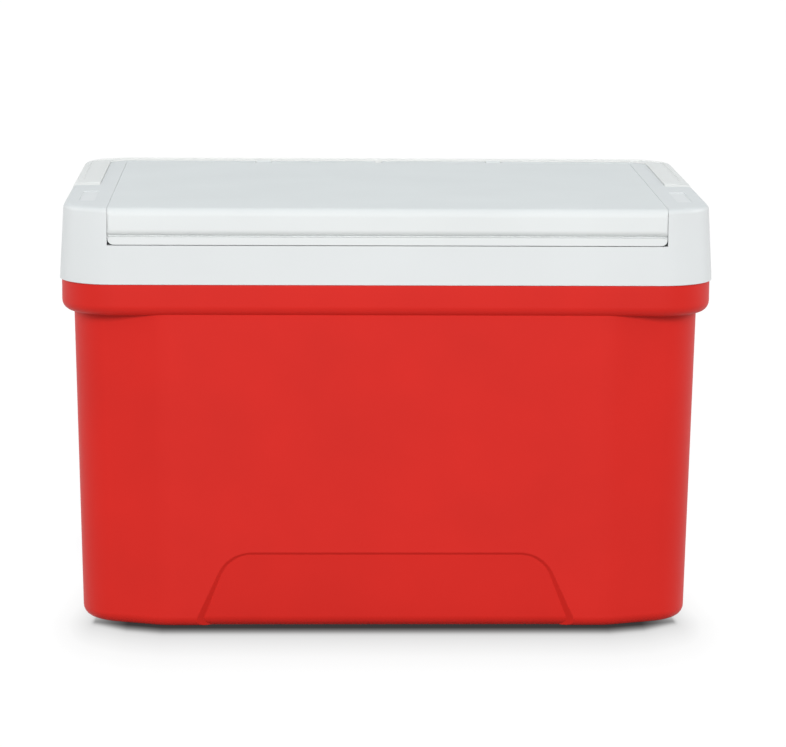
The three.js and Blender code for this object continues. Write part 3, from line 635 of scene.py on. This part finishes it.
def make_rim_collar():
    body = loft("rim_collar_skin", edge_rounded(
        collar_outline, COLLAR_SKIRT_Z, TOP_Z, COLLAR_LOW_ROUND, COLLAR_TOP_ROUND))
    tongue = prism_z("tongue", rounded(TONGUE_HALF_WIDTH, TONGUE_HALF_DEPTH, TONGUE_CORNER),
                     collar_low.z, TONGUE_TOP_Z)
    combine(body, [tongue], "UNION")
    cutters = collar_hollows()
    for side in (-1, 1):
        cutters += collar_side_cutters(side)
    combine(body, cutters)
    finish_edges(body, width=0.35 * MM)
    dress(body, WHITE, "white_plastic", "tub", "rim_collar")
    smooth_patches(body)
    return body


# ---------------------------------------------------------------- lid
def lid_side_profile():
    """Lid in (y, z): flat top, rounded lip, undercut finger groove, lower strip."""
    top_centre = (LID_FRONT_Y + LID_TOP_ROUND, TOP_Z - LID_TOP_ROUND)
    lip_centre = (LID_FRONT_Y + LID_LIP_ROUND, LID_GROOVE_Z + LID_LIP_ROUND)
    points = [(LID_BACK_Y, LID_BOTTOM_Z), (LID_BACK_Y, TOP_Z)]
    points += arc(top_centre, LID_TOP_ROUND, math.pi / 2, math.pi, 10)
    points += arc(lip_centre, LID_LIP_ROUND, math.pi, LID_LIP_TURN, 8)
    points += [
        (LID_FRONT_Y + LID_GROOVE_DEPTH, LID_GROOVE_Z),
        (LID_FRONT_Y + LID_GROOVE_DEPTH, LID_GROOVE_Z - LID_GROOVE_HEIGHT),
        (LID_FRONT_Y + LID_STRIP_INSET, LID_STRIP_TOP_Z),
        (LID_FRONT_Y + LID_STRIP_INSET, LID_BOTTOM_Z),
    ]
    return points[::-1]


def round_lid_corners(cover):
    """Rounds the lid's lower corners as seen from the front, and its corners in plan."""
    low_centre = (LID_HALF_WIDTH - LID_LOW_ROUND, LID_BOTTOM_Z + LID_LOW_ROUND)
    right = arc(low_centre, LID_LOW_ROUND, -math.pi / 2, 0, 8)
    right.append((LID_HALF_WIDTH, TOP_Z + NUDGE))
    front_view = right + [(-x, z) for x, z in right[::-1]]
    middle_y = (LID_FRONT_Y + LID_BACK_Y) / 2
    plan = rounded(LID_HALF_WIDTH, (LID_BACK_Y - LID_FRONT_Y) / 2, LID_CORNER, 8)
    plan = [(x, y + middle_y) for x, y in plan]
    combine(cover, [
        prism_y("front_view", front_view, LID_FRONT_Y - BEYOND, LID_BACK_Y + BEYOND),
        prism_z("plan", plan, LID_BOTTOM_Z - BEYOND, TOP_Z + BEYOND),
    ], "INTERSECT")


def add_knuckle(cover, side):
    """Joins one hinge knuckle to the lid by its arm, and bores it for the pin."""
    centre = side * HINGE_X
    x0 = centre - KNUCKLE_WIDTH / 2
    x1 = x0 + KNUCKLE_WIDTH
    arm_low_z = HINGE_Z - KNUCKLE_RADIUS + 0.2 * MM
    arm_top_z = TOP_Z - 0.05 * MM
    knuckle = bar_x("knuckle", x0, x1, HINGE_Y, HINGE_Z, KNUCKLE_RADIUS)
    arm = block("arm", (x0, LID_BACK_Y - NUDGE, arm_low_z), (x1, HINGE_Y, arm_top_z))
    combine(knuckle, [arm], "UNION")
    combine(cover, [knuckle], "UNION")
    bore = bar_x("bore", centre - KNUCKLE_WIDTH, centre + KNUCKLE_WIDTH, HINGE_Y, HINGE_Z, PIN_RADIUS + GAP)
    combine(cover, [bore])


def make_lid_cover():
    cover = prism_x("lid_cover_skin", lid_side_profile(), -LID_HALF_WIDTH, LID_HALF_WIDTH)
    round_lid_corners(cover)
    hollow = block("hollow", (-LID_HALF_WIDTH + LID_WALL, panel_low.y - GAP, LID_BOTTOM_Z - BEYOND),
                   (LID_HALF_WIDTH - LID_WALL, LID_BACK_Y - LID_WALL, TOP_Z - LID_WALL))
    combine(cover, [hollow])
    for side in (-1, 1):
        add_knuckle(cover, side)
    finish_edges(cover, width=0.35 * MM, angle=28)
    return dress(cover, LID_WHITE, "lid_plastic", "lid", "lid_cover")


def make_lid_liner():
    panel = block("lid_liner_skin", (panel_low.x, panel_low.y, PANEL_BOTTOM_Z),
                  (panel_high.x, panel_high.y, panel_high.z))
    half_x, half_y = MOUTH_HALF_WIDTH - PLUG_ROOM, MOUTH_HALF_DEPTH - PLUG_ROOM

    def plug_outline(z, inset):
        lean = PLUG_DRAFT * (PLUG_TOP_Z - z)
        return rounded(half_x - lean - inset, half_y - lean - inset, PLUG_CORNER - inset)

    plug = loft("plug", edge_rounded(
        plug_outline, panel_low.z, PLUG_TOP_Z, PLUG_FOOT_ROUND, PLUG_TOP_ROUND))
    combine(panel, [plug], "UNION")
    tray = prism_z("tray", rounded(half_x - PLUG_WALL, half_y - PLUG_WALL, TRAY_CORNER),
                   panel_low.z + PLUG_FLOOR, panel_high.z + BEYOND)
    dish = loft("dish", [
        (z, rounded(PLUG_DISH_HALF_WIDTH + flare, PLUG_DISH_HALF_DEPTH + flare, PLUG_DISH_CORNER + flare))
        for z, flare in ((panel_low.z - NUDGE, PLUG_DISH_FLARE), (panel_low.z + PLUG_DISH_DEPTH, 0))
    ])
    combine(panel, [tray, dish])
    finish_edges(panel, width=0.6 * MM)
    return dress(panel, LINER_WHITE, "liner_plastic", "lid", "lid_liner")


# ---------------------------------------------------------------- bail, pivots, pins
def bail_band(name, outer_inset, inner_inset, z0, z1, top_round=0.0):
    """U-shaped band in plan, open to the front."""
    half_x, half_y = bail_high.x, bail_high.y

    def outline(z, inset):
        total = outer_inset + inset
        return rounded(half_x - total, half_y - total, BAIL_OUTER_CORNER - total)

    if top_round:
        band = loft(name, edge_rounded(outline, z0, z1, BAIL_LOW_ROUND, top_round))
    else:
        band = prism_z(name, outline(z0, 0), z0, z1)
    inside = rounded(BAIL_INNER_HALF_WIDTH + inner_inset, BAIL_INNER_Y + inner_inset,
                     BAIL_INNER_CORNER + inner_inset)
    inner = prism_z("inner", inside, z0 - NUDGE, z1 + NUDGE)
    front = block("front", (-half_x - NUDGE, -half_y - NUDGE, z0 - 2 * NUDGE),
                  (half_x + NUDGE, PAD_BACK_Y, z1 + 2 * NUDGE))
    return combine(band, [inner, front])


def keep_ends_solid(cutter):
    """Stops a cutter short of the bail's two ends, where its pivots are."""
    low = (-200 * MM, PAD_BACK_Y - NUDGE, 150 * MM)
    high = (200 * MM, PIVOT_Y + BAIL_END_RADIUS + NUDGE, 250 * MM)
    combine(cutter, [block("ends", low, high)])


def bail_end_trim():
    """Cutter that rounds the two ends of the bail about its pivots."""
    block_x, bar_end_x = 170 * MM, 180 * MM
    trim = block("trim", (-block_x, PAD_BACK_Y - NUDGE, bail_low.z - NUDGE),
                 (block_x, PIVOT_Y, bail_high.z + NUDGE))
    return combine(trim, [bar_x("end", -bar_end_x, bar_end_x, PIVOT_Y, PIVOT_Z, BAIL_END_RADIUS, 64)])


def make_bail():
    band = bail_band("bail_handle_skin", 0, 0, bail_low.z, bail_high.z, BAIL_TOP_ROUND)
    dish = bail_band("dish", BAIL_DISH_OUTER_EDGE, BAIL_DISH_INNER_EDGE,
                     bail_high.z - BAIL_DISH_DEPTH, bail_high.z + BEYOND)
    hollow = bail_band("hollow", BAIL_WALL, BAIL_WALL, bail_low.z - BEYOND, bail_high.z - BAIL_ROOF)
    keep_ends_solid(dish)
    keep_ends_solid(hollow)
    cutters = [dish, hollow, bail_end_trim()]
    seat = pivot_high.x - PIVOT_HEAD_THICKNESS - GAP
    outer = bail_high.x + NUDGE
    for side in (-1, 1):
        cutters.append(bar_x("bore", side * (BAIL_INNER_HALF_WIDTH - NUDGE), side * outer,
                             PIVOT_Y, PIVOT_Z, PIVOT_SHAFT_RADIUS + GAP))
        cutters.append(bar_x("seat", side * seat, side * outer, PIVOT_Y, PIVOT_Z, PIVOT_HEAD_RADIUS + GAP))
    combine(band, cutters)
    finish_edges(band, width=0.8 * MM)
    return dress(band, BAIL_WHITE, "bail_plastic", "bail", "bail_handle")


def turned(name, profile, y, z, steps=40):
    """Solid of revolution about the X line through (y, z), from (x, radius) points between its poles."""
    bm = bmesh.new()
    rings = []
    for x, radius in profile:
        circle = arc((y, z), radius, 0, 2 * math.pi, steps)[:-1]
        rings.append([bm.verts.new((x, cy, cz)) for cy, cz in circle])
    for low, high in zip(rings, rings[1:]):
        for i in range(steps):
            j = (i + 1) % steps
            bm.faces.new((low[i], low[j], high[j], high[i]))
    bm.faces.new(rings[0][::-1])
    bm.faces.new(rings[-1])
    return new_object(name, bm)


def make_pivot(name, side):
    head_inner = pivot_high.x - PIVOT_HEAD_THICKNESS
    profile = [(pivot_low.x, PIVOT_SHAFT_RADIUS), (head_inner, PIVOT_SHAFT_RADIUS)]
    profile.append((head_inner, PIVOT_HEAD_RADIUS))
    rim_x, rim_radius = pivot_high.x - PIVOT_RIM_ROUND, PIVOT_HEAD_RADIUS - PIVOT_RIM_ROUND
    steps = 4
    for i in range(steps + 1):
        a = math.pi / 2 * i / steps
        profile.append((rim_x + PIVOT_RIM_ROUND * math.sin(a), rim_radius + PIVOT_RIM_ROUND * math.cos(a)))
    profile.append((pivot_high.x, PIVOT_DIMPLE_RADIUS))
    profile.append((pivot_high.x - PIVOT_DIMPLE_DEPTH, PIVOT_DIMPLE_FLOOR))
    stud = turned(f"bail_pivot_{name}_stud", [(side * x, r) for x, r in profile], PIVOT_Y, PIVOT_Z)
    finish_edges(stud, width=0.3 * MM, segments=2)
    return dress(stud, WHITE, "white_plastic", "tub", f"bail_pivot_{name}")


def make_pin(name, side):
    low = side * HINGE_X - (pin_high.x - pin_low.x) / 2
    high = side * HINGE_X + (pin_high.x - pin_low.x) / 2
    tip_radius = PIN_RADIUS - PIN_RIM
    profile = [(low, tip_radius), (low + PIN_RIM, PIN_RADIUS)]
    profile += [(high - PIN_RIM, PIN_RADIUS), (high, tip_radius)]
    pin = turned(f"hinge_pin_{name}_wire", profile, HINGE_Y, HINGE_Z, 24)
    finish_edges(pin, width=0.1 * MM, segments=2)
    return dress(pin, STEEL, "pin_steel", "tub", f"hinge_pin_{name}")


make_tub_shell()
make_tub_liner()
make_rim_collar()
make_lid_cover()
make_lid_liner()
make_bail()
for side_name, side_sign in SIDES:
    make_pivot(side_name, side_sign)
    make_pin(side_name, side_sign)
for node in ("tub_insulation", "lid_insulation"):
    foam_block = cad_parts[node]
    foam_block.data.materials.clear()
    foam_block.data.materials.append(FOAM)


# ---------------------------------------------------------------- studio and camera
FLOOR_HALF_SIZE = 14.0
FLOOR_Z = -0.15 * MM  # under the base, so that the two don't flicker through each other
FLOOR_COLOR = 0.02
FLOOR_BOUNCE = 0.36  # share of the floor's brightness that lights the cooler from below
# Painted shadow: the floor's glow is dimmed round the foot of the cooler, and the light it sends up to the
# cooler stays even.
SHADE_REACH = 100 * MM  # distance from the foot of the cooler at which the floor is fully bright
SHADE_STOPS = (  # share of that distance, and brightness there
    (0, 0.03), (0.04, 0.12), (0.08, 0.27), (0.14, 0.62), (0.18, 0.73),
    (0.26, 0.79), (0.40, 0.86), (0.60, 0.94), (1, 1),
)
SHADE_SIDE_SQUEEZE = 3  # how many times sooner the shade ends at the sides
SHADE_SIDE_INSET = 7 * MM
SHADE_FLANK_INSET = 14 * MM
SHADE_CORNER_EASE = 0.5
SHADE_FLANK_EASE = 0.4

LIGHT_AIM = (0, 0, 0.12)
KEY_PLACE, KEY_SIZE, KEY_POWER = (0.8, -2.7, 1.32), (1.0, 0.75), 30
FILL_PLACE, FILL_SIZE, FILL_POWER = (2.3, 0.5, 0.9), (1.0, 1.2), 15
BACK_PLACE, BACK_SIZE, BACK_POWER = (0, 2.6, 1.7), (2.0, 1.0), 7
HORIZON_COLOR = (0.84, 0.84, 0.84, 1)
ZENITH_COLOR = (0.475, 0.515, 0.535, 1)

CAMERA_PLACE = Vector((-46.06 * MM, -1806.02 * MM, TOP_Z + 215.7 * MM))
CAMERA_YAW = math.radians(1.657)
CAMERA_PITCH = math.radians(10.046)
CAMERA_ROLL = math.radians(0.379)
CAMERA_LENS = 154.6
CAMERA_SENSOR = 36


def calculate(tree, operation, first, second):
    """A Math node of two values, each a number or a socket."""
    node = tree.nodes.new("ShaderNodeMath")
    node.operation = operation
    for value, socket in ((first, node.inputs[0]), (second, node.inputs[1])):
        if isinstance(value, (int, float)):
            socket.default_value = value
        else:
            tree.links.new(value, socket)
    return node.outputs["Value"]


def excess(tree, value, limit):
    """How far a value is over its limit, or nothing while it is under it."""
    return calculate(tree, "MAXIMUM", calculate(tree, "SUBTRACT", value, limit), 0)


def shade_distance(tree):
    """Distance on the floor from the foot of the cooler, stretched where the shade has to be weaker."""
    where = tree.nodes.new("ShaderNodeTexCoord")
    split = tree.nodes.new("ShaderNodeSeparateXYZ")
    tree.links.new(where.outputs["Object"], split.inputs["Vector"])
    across = calculate(tree, "ABSOLUTE", split.outputs["X"], 0)
    along = calculate(tree, "ABSOLUTE", split.outputs["Y"], 0)
    beyond_flat = excess(tree, across, TUB_FLAT_HALF_WIDTH)
    bevel_drop = calculate(tree, "MULTIPLY", beyond_flat, math.tan(TUB_BEVEL))
    bevel_edge = calculate(tree, "SUBTRACT", TUB_HALF_DEPTH, bevel_drop)
    ahead = excess(tree, along, bevel_edge)
    aside = excess(tree, across, TUB_HALF_WIDTH - SHADE_SIDE_INSET)
    aside = calculate(tree, "MULTIPLY", aside, SHADE_SIDE_SQUEEZE)
    ahead_squared = calculate(tree, "POWER", ahead, 2)
    squares = calculate(tree, "ADD", ahead_squared, calculate(tree, "POWER", aside, 2))
    corner_ease = excess(tree, across, TUB_HALF_WIDTH - TUB_CORNER)
    corner_ease = calculate(tree, "MULTIPLY", corner_ease, SHADE_CORNER_EASE)
    flank_ease = excess(tree, TUB_HALF_DEPTH - SHADE_FLANK_INSET, along)
    flank_ease = calculate(tree, "MULTIPLY", flank_ease, SHADE_FLANK_EASE)
    ease = calculate(tree, "ADD", corner_ease, flank_ease)
    return calculate(tree, "ADD", calculate(tree, "SQRT", squares, 0), ease)


def floor_shade(tree):
    """How bright the floor is: a painted shadow dims it softly towards the foot of the cooler, most at front
    and back.
    """
    ramp = tree.nodes.new("ShaderNodeValToRGB")
    ramp.color_ramp.interpolation = "LINEAR"
    elements = ramp.color_ramp.elements
    while len(elements) < len(SHADE_STOPS):
        elements.new(0.5)
    for element, (place, level) in zip(elements, SHADE_STOPS):
        element.position = place
        element.color = (level, level, level, 1)
    tree.links.new(calculate(tree, "DIVIDE", shade_distance(tree), SHADE_REACH), ramp.inputs["Fac"])
    return ramp.outputs["Color"]


def make_floor():
    """Pale glowing floor with a painted shadow round the cooler; the light it sends up is kept even."""
    size = FLOOR_HALF_SIZE
    bm = bmesh.new()
    corners = [(-size, -size), (size, -size), (size, size), (-size, size)]
    bm.faces.new([bm.verts.new((x, y, FLOOR_Z)) for x, y in corners])
    floor = new_object("studio_floor", bm)
    material, tree, shader = node_material("studio_floor")
    shader.inputs["Base Color"].default_value = (FLOOR_COLOR, FLOOR_COLOR, FLOOR_COLOR, 1)
    shader.inputs["Roughness"].default_value = 1
    shader.inputs["Specular IOR Level"].default_value = 0
    rays = tree.nodes.new("ShaderNodeLightPath")
    bounce = tree.nodes.new("ShaderNodeMix")
    bounce.data_type = "RGBA"
    tree.links.new(rays.outputs["Is Diffuse Ray"], bounce.inputs["Factor"])
    # Painted shadow for every ray but diffuse ones, which get the even FLOOR_BOUNCE glow instead.
    tree.links.new(floor_shade(tree), bounce.inputs["A"])
    bounce.inputs["B"].default_value = (FLOOR_BOUNCE, FLOOR_BOUNCE, FLOOR_BOUNCE, 1)
    tree.links.new(bounce.outputs["Result"], shader.inputs["Emission Color"])
    shader.inputs["Emission Strength"].default_value = 1
    floor.data.materials.append(material)


def add_light(name, location, size, power):
    data = bpy.data.lights.new(name, "AREA")
    data.shape = "RECTANGLE"
    data.size, data.size_y = size
    data.energy = power
    light = bpy.data.objects.new(name, data)
    light.location = location
    towards = Vector(LIGHT_AIM) - Vector(location)
    light.rotation_euler = towards.to_track_quat("-Z", "Y").to_euler()
    bpy.context.scene.collection.objects.link(light)


def add_light_pair(name, location, size, power):
    """The same light on the left and on the right."""
    x, y, z = location
    for side_name, side in SIDES:
        add_light(f"{name}_{side_name}", (side * x, y, z), size, power)


def make_world():
    """White all round the horizon, dimmer and slightly cool overhead."""
    world = bpy.data.worlds.new("studio")
    world.use_nodes = True
    tree = world.node_tree
    direction = tree.nodes.new("ShaderNodeTexCoord")
    split = tree.nodes.new("ShaderNodeSeparateXYZ")
    tree.links.new(direction.outputs["Generated"], split.inputs["Vector"])
    ramp = tree.nodes.new("ShaderNodeValToRGB")
    ramp.color_ramp.interpolation = "EASE"
    low, high = ramp.color_ramp.elements
    low.position = 0.05
    low.color = HORIZON_COLOR
    high.position = 0.45
    high.color = ZENITH_COLOR
    tree.links.new(split.outputs["Z"], ramp.inputs["Fac"])
    tree.links.new(ramp.outputs["Color"], tree.nodes["Background"].inputs["Color"])
    bpy.context.scene.world = world


def make_studio():
    make_floor()
    make_world()
    add_light_pair("key", KEY_PLACE, KEY_SIZE, KEY_POWER)
    add_light_pair("fill", FILL_PLACE, FILL_SIZE, FILL_POWER)
    add_light("fill_back", BACK_PLACE, BACK_SIZE, BACK_POWER)


def make_camera():
    """Camera 1.8 m in front of the cooler and a little left of it, looking 10 degrees down."""
    data = bpy.data.cameras.new("camera")
    data.sensor_width = CAMERA_SENSOR
    data.lens = CAMERA_LENS
    data.clip_start = 0.05
    data.clip_end = 60
    camera = bpy.data.objects.new("camera", data)
    ahead = Vector((math.sin(CAMERA_YAW), math.cos(CAMERA_YAW), 0))
    right = Vector((math.cos(CAMERA_YAW), -math.sin(CAMERA_YAW), 0))
    forward = ahead * math.cos(CAMERA_PITCH) - Vector((0, 0, math.sin(CAMERA_PITCH)))
    up = ahead * math.sin(CAMERA_PITCH) + Vector((0, 0, math.cos(CAMERA_PITCH)))
    side = right * math.cos(CAMERA_ROLL) + up * math.sin(CAMERA_ROLL)
    top = -right * math.sin(CAMERA_ROLL) + up * math.cos(CAMERA_ROLL)
    turn = Matrix((side, top, -forward)).transposed()
    camera.matrix_world = Matrix.Translation(CAMERA_PLACE) @ turn.to_4x4()
    bpy.context.scene.collection.objects.link(camera)
    bpy.context.scene.camera = camera


make_studio()
make_camera()
bpy.context.scene.view_settings.view_transform = "Standard"
